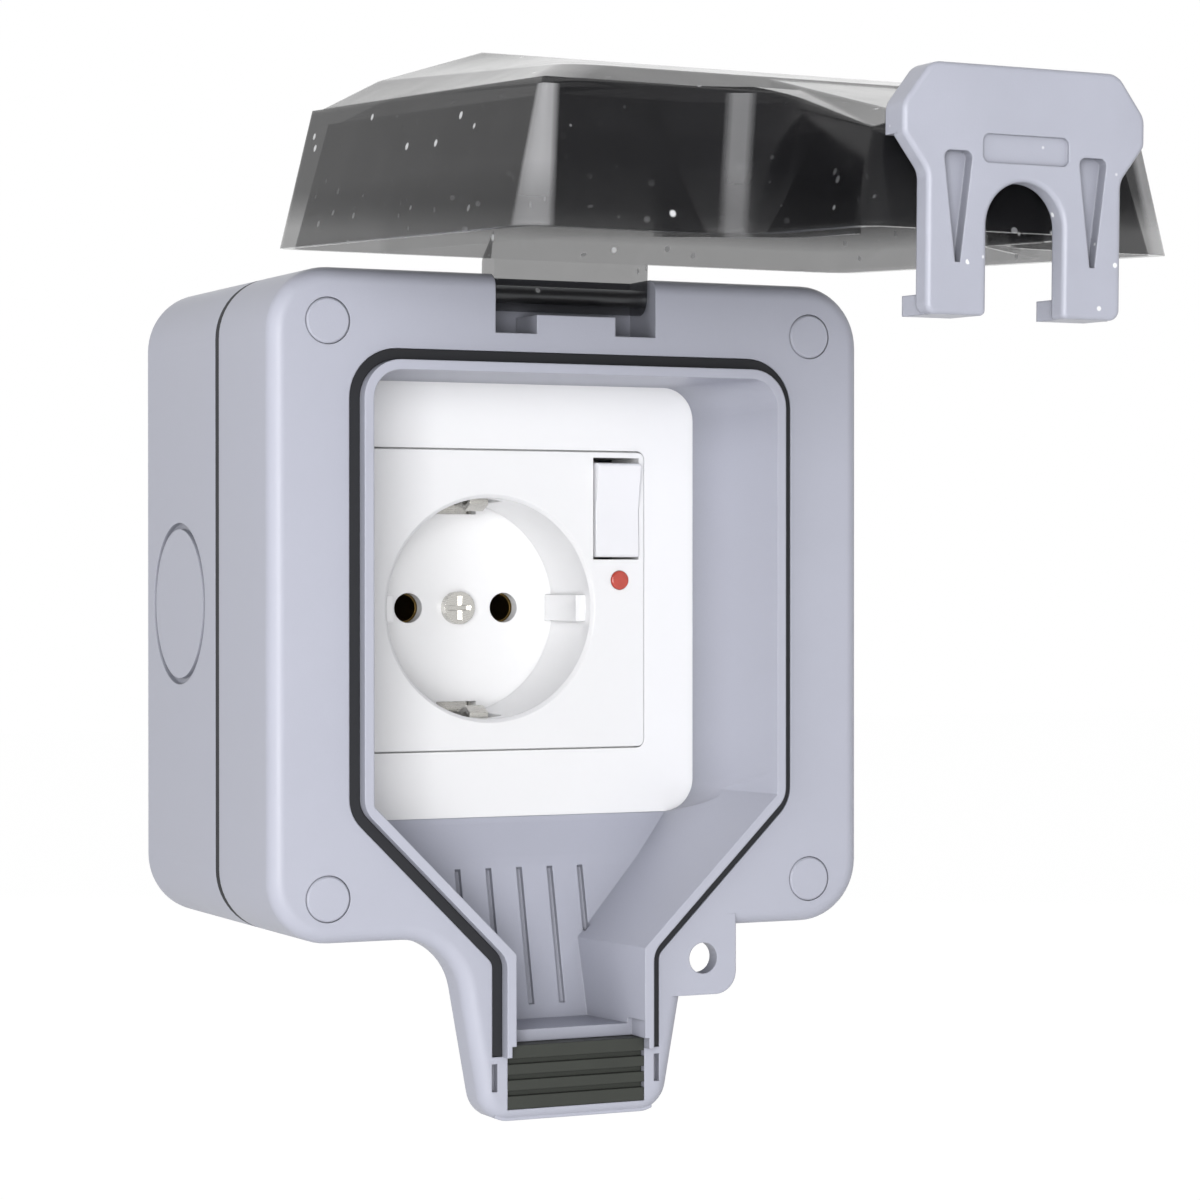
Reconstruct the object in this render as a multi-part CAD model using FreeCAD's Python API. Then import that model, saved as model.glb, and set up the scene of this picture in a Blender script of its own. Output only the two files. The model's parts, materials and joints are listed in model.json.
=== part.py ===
import FreeCAD, Part
import math
import os

# Weatherproof surface socket with a hinged lid.
# The wall is the plane Y = 0 and the socket stands out of it along -Y.
# +X is to the right and +Z is up; the origin is the centre of the box's back.
# "out" below is a distance from the wall, so a point's Y is minus its "out".
# The lid is drawn closed and then swung to the open position in which it is stored.

# Box and frame
body_width = 112.7
body_height = 114.4
body_corner_radius = 11.0
box_depth = 39.7
gasket_thickness = 2.0
frame_depth = 26.3
outer_wall = 2.4
box_back_wall = 3.0
box_back_rounding = 1.5
front_wall = 2.8
front_rounding = 2.6
gasket_setback = 0.05
gasket_width = 3.2

# Cable nose under the frame
nose_length = 32.1
nose_tip_half_width = 17.2
nose_root_half_width = 23.0
nose_flare_radius = 11.0
nose_tip_radius = 5.5
nose_flange_depth = 6.8
nose_tip_depth = 7.5
nose_tip_wall = 1.9

# Recess with its lip, seal groove and funnel
recess_half_width = 38.5
recess_top_inset = 17.2
recess_corner_radius = 5.0
recess_slope_reach = 15.3
neck_half_width = 12.3
neck_end_gap = 15.3
shoulder_radius = 3.0
neck_corner_radius = 6.0
lip_width = 1.7
lip_rise = 2.1
groove_width = 2.0
groove_depth = 3.4
groove_end_gap = 11.3
groove_backing = 2.0
seal_thickness = 3.2
seal_side_clearance = 0.05
recess_wall = 2.4
funnel_knee_out = 3.4
funnel_knee_drop = 8.0
funnel_foot_out = 9.8
funnel_side_draft = 4.0
funnel_knee_radius = 12.0
flute_pitch = 6.0
flute_count = 5
flute_width = 1.1
flute_depth = 0.9
flute_shift = -1.0
flute_top_gap = 8.5
flute_end_gap = 17.8

# Outlet plate seen at the bottom of the recess
plate_half_width = 35.7
plate_top_inset = 17.5
plate_bottom_inset = 18.7
plate_corner_radius = 6.0
plate_margin = 2.5
plate_depth = 4.2
plate_face = 2.0
plate_rim = 2.0

# Cable seal at the end of the nose
cable_seal_half_width = 13.0
cable_seal_top_gap = 13.1
cable_seal_height = 11.0
cable_seal_setback = 0.0
cable_seal_depth = 6.0
cable_seal_ribs = 4
cable_seal_rib_gap = 1.0
cable_seal_rib_height = 1.2
cable_seal_clearance = 0.1
shelf_setback = 3.5
nose_slot_x = 15.5
nose_slot_width = 1.0
nose_slot_height = 4.8
nose_slot_depth = 1.6

# Padlock eyelet beside the nose
eyelet_x = 24.7
eyelet_below_frame = 5.6
eyelet_hole_radius = 2.75
eyelet_margin = 6.5
eyelet_thickness = 3.0
eyelet_corner_radius = 4.0

# Frame screws, their caps and bosses
screw_x = 46.0
screw_top_inset = 9.2
screw_bottom_inset = 7.7
screw_radius = 1.9
screw_head_radius = 3.2
screw_head_height = 2.4
screw_slot_width = 0.9
screw_slot_depth = 1.0
screw_length = 40.0
screw_clearance = 0.1
boss_radius = 4.25
cap_radius = 3.9
cap_thickness = 1.7
cap_recess = 1.5
cap_clearance = 0.1

# Back box details
fixing_spacing = 76.0
fixing_hole_radius = 2.25
fixing_pad_radius = 5.0
fixing_pad_height = 1.0
knockout_side_radius = 14.5
knockout_end_radius = 10.4
knockout_groove = 1.1
knockout_depth = 0.9
knockout_out = 19.5

# Hinge
hinge_setback = 5.0
hinge_top_inset = 3.2
hinge_pin_radius = 1.5
hinge_fit = 0.06
barrel_radius = 3.0
barrel_half_length = 14.6
slot_half_width = 15.3
slot_height = 10.3
slot_depth = 10.5
slot_wall = 2.4
slot_block_half_width = 7.5
slot_block_gap = 0.8
slot_block_depth = 9.0
pin_end_depth = 2.0

# Lid, measured closed; its rim lies just in front of the frame
lid_rim_gap = 1.0
lid_side_inset = 1.35
lid_top_inset = 4.2
lid_shoulder_inset = 4.2
lid_nose_half_width = 20.5
lid_nose_overhang = 0.7
lid_corner_radius = 6.0
lid_front_radius = 4.5
lid_inner_radius = 10.0
lid_nose_radius = 4.0
lid_smallest_radius = 0.6
lid_wall = 2.2
lid_wall_height = 22.2
lid_wall_lean = 0.016
lid_draft = 5.0
lid_bevel_inset = 12.3
lid_bevel_height = 26.0
lid_bevel_lean = 0.042
lid_dome_inset = 25.2
lid_dome_front_inset = 37.5
lid_dome_height = 29.4
lid_dome_lean = 0.111
lid_crown_sink = 0.05
lid_nose_wall_height = 12.4
lid_nose_crown_height = 15.6
lid_nose_crown_half_width = 10.5
lid_nose_crown_root = 24.0
lid_nose_crown_inset = 12.0
lid_rib_inset = 0.5
lid_rib_reach = 0.5
lid_rib_end_gap = 11.8
lid_arm_reach = 6.0
lid_open_angle = 87.0

# Latch on the lid's nose, also measured closed
latch_overhang = 7.0
latch_thickness = 3.0
latch_leg_half_width = 15.4
latch_gap_half_width = 6.1
latch_arch_height = 6.2
latch_leg_length = 12.1
latch_leg_corner = 1.5
latch_cap_half_width = 19.2
latch_cap_low = 12.0
latch_cap_high = 16.0
latch_cap_top = 21.8
latch_cap_top_half_width = 14.8
latch_waist = 7.0
latch_cap_wall = 1.7
latch_hood_depth = 5.0
latch_edge_rounding = 0.7
latch_toe_depth = 8.1
latch_toe_thickness = 2.8
latch_band_half_width = 6.8
latch_band_low = 8.6
latch_band_high = 12.5
latch_band_depth = 0.5
latch_flute_x = 10.7
latch_flute_half_width = 2.3
latch_flute_top = 10.0
latch_flute_tip = -5.0
latch_flute_depth = 1.8
latch_pivot_depth = 4.8
latch_pivot_height = 10.0
latch_pin_radius = 1.0
latch_boss_radius = 1.7
latch_lug_radius = 1.5
latch_lug_x = 10.4
latch_lug_width = 2.0
latch_lug_gap = 0.4
latch_boss_width = 2.4
latch_rest_tilt = 2.0

# Socket insert with the round cup
insert_left = -28.4
insert_right = 25.4
insert_bottom = -26.3
insert_top = 27.6
insert_corner_radius = 1.2
insert_clearance = 0.3
insert_proud = 0.5
insert_flange = 0.8
cup_x = -5.1
cup_z = -0.9
cup_rim_radius = 20.0
cup_floor_radius = 19.4
cup_outer_radius = 20.9
cup_rim_bevel = 0.6
cup_depth = 16.5
cup_floor = 2.5
cup_key_half_width = 2.4
cup_key_height = 1.5
cup_key_setback = 2.5
pin_spacing = 19.0
pin_hole_radius = 2.75
earth_slot_half_width = 4.0
earth_slot_inner = 17.3
earth_slot_outer = 20.2
earth_slot_setback = 4.2
earth_arm_half_width = 1.8
earth_arm_radius = 18.9
earth_bar_half_width = 3.2
earth_thickness = 1.0
earth_arm_setback = 5.6
earth_bend = 1.2
earth_tail = 25.8
earth_screw_drop = 23.4
centre_head_radius = 3.0
centre_head_height = 1.8
centre_shank_radius = 1.5
centre_screw_length = 12.0

# Switch rocker
rocker_left = 15.2
rocker_right = 24.4
rocker_bottom = 8.0
rocker_top = 26.6
rocker_side_clearance = 0.3
rocker_end_clearance = 0.7
rocker_pivot_back = 3.7
rocker_crest = 1.3
rocker_hollow = 0.8
rocker_hollow_radius = 8.0
rocker_depth = 8.2
rocker_tilt = 4.0
rocker_pin_radius = 1.04
rocker_pin_fit = 0.06
rocker_pin_length = 0.8
rocker_housing_wall = 1.2
rocker_housing_depth = 8.0
contact_gap = 0.35
contact_thickness = 0.6
contact_half_width = 2.3

# Indicator
lamp_x = 20.5
lamp_z = 4.2
lamp_radius = 1.75
lamp_clearance = 0.05
lamp_proud = 0.4
lens_length = 5.0
neon_radius = 1.5
neon_length = 8.0

# Metal strap and the mechanism base behind the insert
strap_thickness = 1.2
strap_half_width = 37.0
strap_top_inset = 1.2
strap_bottom_inset = 1.0
strap_corner_radius = 2.0
strap_opening_overlap = 0.5
strap_screw_x = 32.5
strap_screw_radius = 1.5
strap_head_radius = 2.7
strap_head_height = 1.6
strap_screw_length = 14.0
strap_boss_radius = 3.75
base_left = -26.0
base_right = 25.0
base_bottom = -30.0
base_top = 30.4
base_back_out = 5.0
base_end_wall = 1.8
plug_pin_length = 19.0
plug_pin_room_radius = 3.1
plug_pin_end_clearance = 0.3
contact_clearance = 0.3
contact_floor_share = 0.385
sleeve_radius = 3.3
sleeve_bore_radius = 2.45
sleeve_slit = 1.0
sleeve_step = 2.0
terminal_reach = 12.0
terminal_length = 5.0
terminal_top_gap = 3.2
terminal_screw_floor = 3.0
terminal_screw_radius = 1.25
terminal_head_radius = 2.2
terminal_head_height = 1.5
earth_screw_length = 5.0
terminal_screw_fit = 0.05

# Places worked out from the sizes above
frame_back = box_depth + gasket_thickness
front = frame_back + frame_depth
lip_front = front + lip_rise
rim = front + lid_rim_gap
plate_front = frame_back
plate_back = plate_front - plate_depth
insert_front = plate_front + insert_proud
cup_bottom = insert_front - cup_depth
cup_back = cup_bottom - cup_floor
rocker_x = (rocker_left + rocker_right) / 2
rocker_z = (rocker_bottom + rocker_top) / 2
rocker_pivot_out = insert_front - rocker_pivot_back
half_width = body_width / 2
half_height = body_height / 2
nose_drop = half_height + nose_length
recess_top = half_height - recess_top_inset
recess_slope_sum = half_height + recess_slope_reach
plate_top = half_height - plate_top_inset
plate_bottom = half_height - plate_bottom_inset
strap_top = plate_top - strap_top_inset
strap_bottom = plate_bottom - strap_bottom_inset
neck_bottom = nose_drop - neck_end_gap
flute_top = plate_bottom + flute_top_gap
groove_bottom = nose_drop - groove_end_gap
flute_bottom = nose_drop - flute_end_gap
cable_seal_top = nose_drop - cable_seal_top_gap
eyelet_drop = half_height + eyelet_below_frame
screw_places = [(side * screw_x, z) for side in (-1, 1)
                for z in (half_height - screw_top_inset, -half_height + screw_bottom_inset)]
hinge_out = front - hinge_setback
hinge_z = half_height - hinge_top_inset
slot_floor_z = half_height - slot_height
slot_back_out = front - slot_depth
lid_half_width = half_width - lid_side_inset
lid_top = half_height - lid_top_inset
lid_shoulder = half_height - lid_shoulder_inset
lid_nose_end = nose_drop + lid_nose_overhang
lid_rib_bottom = nose_drop - lid_rib_end_gap
latch_face_z = -lid_nose_end - latch_overhang
contact_floor_out = base_back_out + contact_floor_share * (cup_back - base_back_out)
terminal_height = cup_back - contact_floor_out - terminal_top_gap

Vector = FreeCAD.Vector
X_AXIS = Vector(1, 0, 0)


def outline(corners, place):
    """Closed wire through (a, b, radius) corners; place(a, b) gives a point in space."""
    edges = []
    flat = [Vector(a, b, 0) for a, b, radius in corners]
    starts = []
    ends = []
    middles = []
    for i, (a, b, radius) in enumerate(corners):
        corner = flat[i]
        back = (flat[i - 1] - corner).normalize()
        ahead = (flat[(i + 1) % len(flat)] - corner).normalize()
        half_angle = back.getAngle(ahead) / 2
        run = radius / math.tan(half_angle)
        starts.append(corner + back * run)
        ends.append(corner + ahead * run)
        inwards = (back + ahead).normalize()
        middles.append(corner + inwards * (radius / math.sin(half_angle) - radius))
    for i, (a, b, radius) in enumerate(corners):
        if radius > 0:
            points = [place(p.x, p.y) for p in (starts[i], middles[i], ends[i])]
            edges.append(Part.Arc(*points).toShape())
        following = starts[(i + 1) % len(flat)]
        if (following - ends[i]).Length > 1e-6:
            edges.append(Part.makeLine(place(ends[i].x, ends[i].y), place(following.x, following.y)))
    return Part.Wire(edges)


def facing_wall(out):
    """Places (x, z) in a plane parallel to the wall."""
    return lambda x, z: Vector(x, -out, z)


def slab(corners, start, end):
    """Outline in X and Z, from one distance out of the wall to another."""
    return Part.Face(outline(corners, facing_wall(start))).extrude(Vector(0, start - end, 0))


def side_slab(corners, left, right):
    """Outline in (out, z), from one X to another."""
    wire = outline(corners, lambda out, z: Vector(left, -out, z))
    return Part.Face(wire).extrude(Vector(right - left, 0, 0))


def level_slab(corners, low, high):
    """Outline in (x, out), from one Z to another."""
    wire = outline(corners, lambda x, out: Vector(x, -out, low))
    return Part.Face(wire).extrude(Vector(0, 0, high - low))


def taper(corners_a, out_a, corners_b, out_b):
    """Straight-sided solid between two like outlines."""
    wires = [outline(corners_a, facing_wall(out_a)), outline(corners_b, facing_wall(out_b))]
    return Part.makeLoft(wires, True, True)


def rectangle(left, right, bottom, top, radius=0.0):
    return [(left, top, radius), (right, top, radius), (right, bottom, radius), (left, bottom, radius)]


def block(left, right, start, end, bottom, top):
    return Part.makeBox(right - left, end - start, top - bottom, Vector(left, -end, bottom))


def rod(x, z, radius, start, end):
    """Cylinder square to the wall."""
    return Part.makeCylinder(radius, end - start, Vector(x, -start, z), Vector(0, -1, 0))


def cone(x, z, start_radius, end_radius, start, end):
    return Part.makeCone(start_radius, end_radius, end - start, Vector(x, -start, z), Vector(0, -1, 0))


def cross_rod(out, z, radius, left, right):
    """Cylinder along X."""
    return Part.makeCylinder(radius, right - left, Vector(left, -out, z), X_AXIS)


def fused(shapes):
    return shapes[0].multiFuse(shapes[1:]).removeSplitter()


def edges_at(shape, out):
    """Edges that lie wholly at one distance out of the wall."""
    return [e for e in shape.Edges if all(abs(v.Point.y + out) < 1e-4 for v in e.Vertexes)]


def save(name, shape):
    shape.exportStep("parts/" + name + ".step")


def body_corners(inset):
    return rectangle(-half_width + inset, half_width - inset, -half_height + inset, half_height - inset,
                     body_corner_radius - inset)


def frame_corners():
    """Outer outline of the frame with its nose."""
    right = [
        (half_width, half_height, body_corner_radius),
        (half_width, -half_height, body_corner_radius),
        (nose_root_half_width, -half_height, nose_flare_radius),
        (nose_tip_half_width, -nose_drop, nose_tip_radius),
    ]
    left = [(-x, z, radius) for x, z, radius in reversed(right)]
    return right + left


def recess_corners(grow, bottom):
    """Outline of the T-shaped recess, grown outwards from the inner edge of its lip."""
    side = recess_half_width + grow
    neck = neck_half_width + grow
    slope_sum = recess_slope_sum + grow * math.sqrt(2)
    right = [
        (side, recess_top + grow, recess_corner_radius + grow),
        (side, side - slope_sum, shoulder_radius + grow),
        (neck, neck - slope_sum, neck_corner_radius - grow),
        (neck, -bottom, 0),
    ]
    left = [(-x, z, radius) for x, z, radius in reversed(right)]
    return right + left


def plate_corners(grow):
    return rectangle(-plate_half_width - grow, plate_half_width + grow, -plate_bottom - grow, plate_top + grow,
                     plate_corner_radius + grow)


def upper_recess(grow):
    """The square part of the recess, tapering from the lip down to the plate."""
    side = recess_half_width + grow
    bottom = recess_half_width - recess_slope_sum - grow
    mouth = rectangle(-side, side, bottom, recess_top + grow, recess_corner_radius + grow)
    return taper(plate_corners(grow), plate_front, mouth, lip_front)


def funnel(grow):
    """The sloping lower part of the recess, which leads the cable into the nose."""
    side = recess_half_width + grow
    neck = neck_half_width + grow
    slope_sum = recess_slope_sum + grow * math.sqrt(2)
    upper = -plate_bottom + 2 * funnel_knee_drop
    lower = -neck_bottom - grow

    def mouth(draft):
        right = [
            (side - draft, upper, 0),
            (side - draft, side - slope_sum, 0),
            (neck - draft, neck - slope_sum, 0),
            (neck - draft, lower, 0),
        ]
        return right + [(-x, z, radius) for x, z, radius in reversed(right)]

    sides = taper(mouth(funnel_side_draft), plate_front, mouth(0), lip_front)
    back = plate_front - grow
    room = side_slab([
        (back, upper, 0),
        (back, -plate_bottom, funnel_knee_radius / 2),
        (back + funnel_knee_out, -plate_bottom - funnel_knee_drop, funnel_knee_radius),
        (back + funnel_foot_out, lower, 0),
        (lip_front + 1, lower, 0),
        (lip_front + 1, upper, 0),
    ], -side, side)
    return sides.common(room)


def flute(x):
    """Shallow vertical channel that follows the funnel's back."""
    top = plate_front + funnel_knee_out
    bottom = plate_front + funnel_foot_out
    slope = (bottom - top) / (neck_bottom - plate_bottom - funnel_knee_drop)
    start = top + slope * (flute_top - plate_bottom - funnel_knee_drop)
    end = top + slope * (flute_bottom - plate_bottom - funnel_knee_drop)
    return side_slab([
        (start + flute_depth, -flute_top, 0),
        (start - flute_depth, -flute_top - flute_depth, 0),
        (end - flute_depth, -flute_bottom, 0),
        (end + flute_depth, -flute_bottom, 0),
    ], x - flute_width / 2, x + flute_width / 2)


def back_box():
    shell = slab(body_corners(0), 0, box_depth)
    shell = shell.makeFillet(box_back_rounding, edges_at(shell, 0))
    shell = shell.cut(slab(body_corners(outer_wall), box_back_wall, box_depth + 1))
    strap_back = plate_back - strap_thickness
    posts = [rod(x, z, boss_radius, box_back_wall - 1, box_depth) for x, z in screw_places]
    posts += [rod(side * strap_screw_x, 0, strap_boss_radius, box_back_wall - 1, strap_back) for side in (-1, 1)]
    half = fixing_spacing / 2
    fixings = [(x, z) for x in (-half, half) for z in (-half, half)]
    pad_top = box_back_wall + fixing_pad_height
    posts += [rod(x, z, fixing_pad_radius, box_back_wall - 1, pad_top) for x, z in fixings]
    shell = fused([shell] + posts)
    screw_end = front - cap_recess - screw_head_height - screw_length
    holes = [rod(x, z, screw_radius + screw_clearance, screw_end, box_depth + 1) for x, z in screw_places]
    holes += [rod(side * strap_screw_x, 0, strap_screw_radius + screw_clearance,
                  plate_back - strap_screw_length, strap_back + 1) for side in (-1, 1)]
    holes += [rod(x, z, fixing_hole_radius, -1, pad_top + 1) for x, z in fixings]
    for side in (-1, 1):
        holes.append(knockout(Vector(side * half_width, -knockout_out, 0), Vector(-side, 0, 0),
                              knockout_side_radius))
        holes.append(knockout(Vector(0, -knockout_out, side * half_height), Vector(0, 0, -side),
                              knockout_end_radius))
    return shell.cut(Part.makeCompound(holes))


def knockout(centre, inwards, radius):
    """Ring-shaped groove round a thin disc that can be pushed out for a cable gland."""
    ring = Part.makeCylinder(radius, 2 * knockout_depth, centre - inwards * knockout_depth, inwards)
    core = Part.makeCylinder(radius - knockout_groove, 2 * knockout_depth, centre - inwards * knockout_depth,
                             inwards)
    return ring.cut(core)


def box_gasket():
    ring = slab(body_corners(gasket_setback), box_depth, frame_back)
    return ring.cut(slab(body_corners(gasket_setback + gasket_width), box_depth - 1, frame_back + 1))


def front_frame():
    shell = fused([slab(body_corners(0), frame_back, front),
                   slab(frame_corners(), front - nose_flange_depth, front)])
    shell = shell.makeFillet(front_rounding, edges_at(shell, front))
    shell = shell.cut(slab(body_corners(outer_wall), frame_back - 1, front - front_wall))
    shell = shell.cut(nose_hollow())
    added = [
        slab(recess_corners(lip_width + groove_width + groove_backing, groove_bottom + groove_backing),
             front - groove_depth - groove_backing, front - front_rounding / 2),
        upper_recess(recess_wall).common(slab(body_corners(outer_wall), frame_back, front - 1)),
        funnel(recess_wall).common(slab(frame_corners(), frame_back, front - 1)),
        block(-slot_half_width - slot_wall, slot_half_width + slot_wall, slot_back_out - slot_wall, front - 1,
              slot_floor_z - slot_wall, half_height - outer_wall / 2),
        nose_tip(),
        eyelet(),
    ]
    added += [rod(x, z, boss_radius, frame_back, front - 1) for x, z in screw_places]
    shell = fused([shell] + added)
    shell = shell.cut(slab(recess_corners(lip_width + groove_width, groove_bottom), front - groove_depth, front + 1))
    lip = slab(recess_corners(lip_width, groove_bottom), front - groove_depth - 1, lip_front)
    shell = fused([shell, lip])
    shell = shell.cut(fused([upper_recess(0), funnel(0)]))
    cuts = [flute(flute_shift + (i - (flute_count - 1) / 2) * flute_pitch) for i in range(flute_count)]
    cuts += [cable_pocket(), hinge_slot(), pin_hole()]
    cuts.append(rod(eyelet_x, -eyelet_drop, eyelet_hole_radius, front - eyelet_thickness - 1, front + 1))
    for side in (-1, 1):
        cuts.append(block(side * nose_slot_x - nose_slot_width / 2, side * nose_slot_x + nose_slot_width / 2,
                          front - nose_slot_depth, front + 1,
                          -cable_seal_top - nose_slot_height - 3, -cable_seal_top - 3))
    for x, z in screw_places:
        cuts.append(rod(x, z, cap_radius + cap_clearance, front - cap_recess, front + 1))
        cuts.append(rod(x, z, screw_head_radius + screw_clearance,
                        front - cap_recess - screw_head_height, front))
        cuts.append(rod(x, z, screw_radius + screw_clearance, frame_back - 1, front))
    shell = shell.cut(Part.makeCompound(cuts))
    return shell.fuse(slot_block()).removeSplitter()


def nose_hollow():
    """Space behind the nose's flange, inside its rim."""
    root = nose_root_half_width - outer_wall
    tip = nose_tip_half_width - outer_wall
    bottom = -nose_drop + outer_wall
    return slab([(-root, -half_height, 0), (root, -half_height, 0), (tip, bottom, 0), (-tip, bottom, 0)],
                front - nose_flange_depth - 1, front - front_wall)


def nose_tip():
    """Thick middle of the nose's end, which holds the cable seal and gives the latch its catch."""
    side = cable_seal_half_width + cable_seal_clearance + nose_tip_wall
    tip = block(-side, side, front - nose_tip_depth, front - 1, -nose_drop, -neck_bottom)
    return tip.common(slab(frame_corners(), frame_back, front))


def eyelet():
    right = eyelet_x + eyelet_margin
    bottom = -eyelet_drop - eyelet_margin
    return slab([(nose_tip_half_width, -half_height + 2, 0), (right, -half_height + 2, 0),
                 (right, bottom, eyelet_corner_radius), (nose_tip_half_width, bottom, 0)],
                front - eyelet_thickness, front)


def cable_pocket():
    """Pocket that holds the cable seal, and the lowered shelf above it."""
    side = cable_seal_half_width + cable_seal_clearance
    back = front - cable_seal_setback - cable_seal_depth
    pocket = block(-side, side, back, lip_front + 1,
                   -cable_seal_top - cable_seal_height - cable_seal_clearance,
                   -cable_seal_top + cable_seal_clearance)
    shelf = block(-neck_half_width, neck_half_width, front - shelf_setback, lip_front + 1,
                  -cable_seal_top, -neck_bottom + 1)
    return pocket.fuse(shelf)


def hinge_slot():
    return block(-slot_half_width, slot_half_width, slot_back_out, lip_front + 1, slot_floor_z, half_height + 1)


def slot_block():
    """Low stop block on the floor of the hinge slot."""
    top = hinge_z - barrel_radius - slot_block_gap
    return block(-slot_block_half_width, slot_block_half_width, front - slot_block_depth, front,
                 slot_floor_z - 1, top)


def pin_hole():
    reach = slot_half_width + pin_end_depth
    return cross_rod(hinge_out, hinge_z, hinge_pin_radius, -reach, reach)


def hinge_pin():
    reach = slot_half_width + pin_end_depth
    return cross_rod(hinge_out, hinge_z, hinge_pin_radius, -reach, reach)


def slotted_screw(x, z, radius, head_radius, seat, head_height, length):
    """Screw pointing at the wall, with a cross in its head."""
    top = seat + head_height
    screw = rod(x, z, radius, seat - length, seat + head_height / 2)
    screw = screw.fuse(rod(x, z, head_radius, seat, top))
    reach = head_radius * 0.75
    width = screw_slot_width / 2
    cross = block(x - reach, x + reach, top - screw_slot_depth, top + 1, z - width, z + width)
    cross = cross.fuse(block(x - width, x + width, top - screw_slot_depth, top + 1, z - reach, z + reach))
    return screw.cut(cross).removeSplitter()


def frame_screws():
    seat = front - cap_recess - screw_head_height
    return Part.makeCompound([slotted_screw(x, z, screw_radius, screw_head_radius, seat, screw_head_height,
                                            screw_length) for x, z in screw_places])


def screw_caps():
    base = front - cap_recess
    caps = [rod(x, z, cap_radius, base, base + cap_thickness) for x, z in screw_places]
    return Part.makeCompound([cap.makeChamfer(0.3, edges_at(cap, base + cap_thickness)) for cap in caps])


def lid_seal():
    floor = front - groove_depth
    outer = slab(recess_corners(lip_width + groove_width - seal_side_clearance, groove_bottom - 0.1),
                 floor, floor + seal_thickness)
    inner = slab(recess_corners(lip_width + seal_side_clearance, groove_bottom + 5),
                 floor - 1, floor + seal_thickness + 1)
    return outer.cut(inner)


def cable_seal():
    """Rubber block with raised ribs across it, for the cable to lie on."""
    back = front - cable_seal_setback - cable_seal_depth
    face = front - cable_seal_setback
    bottom = -cable_seal_top - cable_seal_height
    seal = block(-cable_seal_half_width, cable_seal_half_width, back, face, bottom, -cable_seal_top)
    pitch = cable_seal_height / cable_seal_ribs
    gaps = []
    for i in range(1, cable_seal_ribs):
        middle = bottom + i * pitch
        gaps.append(block(-cable_seal_half_width - 1, cable_seal_half_width + 1, face - cable_seal_rib_height,
                          face + 1, middle - cable_seal_rib_gap / 2, middle + cable_seal_rib_gap / 2))
    return seal.cut(Part.makeCompound(gaps))


def outlet_plate():
    tray = slab(plate_corners(plate_margin), plate_back, plate_front)
    tray = tray.cut(slab(plate_corners(plate_margin - plate_rim), plate_back - 1, plate_front - plate_face))
    return tray.cut(slab(insert_corners(insert_clearance), plate_back - 1, plate_front + 1))


def insert_corners(grow):
    return rectangle(insert_left - grow, insert_right + grow, insert_bottom - grow, insert_top + grow,
                     insert_corner_radius + grow)


def socket_insert():
    plate_inside = plate_front - plate_face
    panel = slab(insert_corners(0), plate_inside - 0.5, insert_front)
    flange = slab(insert_corners(insert_flange), plate_back, plate_inside)
    cup = rod(cup_x, cup_z, cup_outer_radius, cup_back, insert_front - 0.5)
    wall = rocker_housing_wall
    housing = block(rocker_left - wall, rocker_right + 0.8, plate_back - rocker_housing_depth + 1, insert_front - 1,
                    rocker_bottom - wall, rocker_top + 0.9)
    insert = fused([panel, flange, cup, housing])
    room = fused([
        cone(cup_x, cup_z, cup_floor_radius, cup_rim_radius, cup_bottom, insert_front),
        cone(cup_x, cup_z, cup_rim_radius, cup_rim_radius + 2 * cup_rim_bevel, insert_front - cup_rim_bevel,
             insert_front + cup_rim_bevel),
    ])
    keys = []
    for side in (-1, 1):
        inner = side * (cup_floor_radius - cup_key_height)
        outer = side * (cup_outer_radius - 0.3)
        keys.append(block(cup_x + min(inner, outer), cup_x + max(inner, outer), cup_back + 0.5,
                          insert_front - cup_key_setback, cup_z - cup_key_half_width, cup_z + cup_key_half_width))
    insert = fused([insert.cut(room)] + keys)
    cuts = [rod(cup_x + side * pin_spacing / 2, cup_z, pin_hole_radius, cup_back - 1, cup_bottom + 1)
            for side in (-1, 1)]
    for side in (-1, 1):
        low = min(side * earth_slot_inner, side * earth_slot_outer)
        high = max(side * earth_slot_inner, side * earth_slot_outer)
        cuts.append(block(cup_x - earth_slot_half_width, cup_x + earth_slot_half_width, cup_back - 1,
                          insert_front - earth_slot_setback, cup_z + low, cup_z + high))
    cuts.append(rod(cup_x, cup_z, centre_shank_radius + screw_clearance, cup_back - 1, cup_bottom + 1))
    cuts.append(block(rocker_left, rocker_right, cup_back, insert_front + 1, rocker_bottom, rocker_top))
    reach = rocker_pin_length + 0.1
    cuts.append(cross_rod(rocker_pivot_out, rocker_z, rocker_pin_radius + rocker_pin_fit,
                          rocker_left - reach, rocker_right + reach))
    cuts.append(rod(lamp_x, lamp_z, lamp_radius + lamp_clearance, plate_back - 1, insert_front + 1))
    return insert.cut(Part.makeCompound(cuts))


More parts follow.
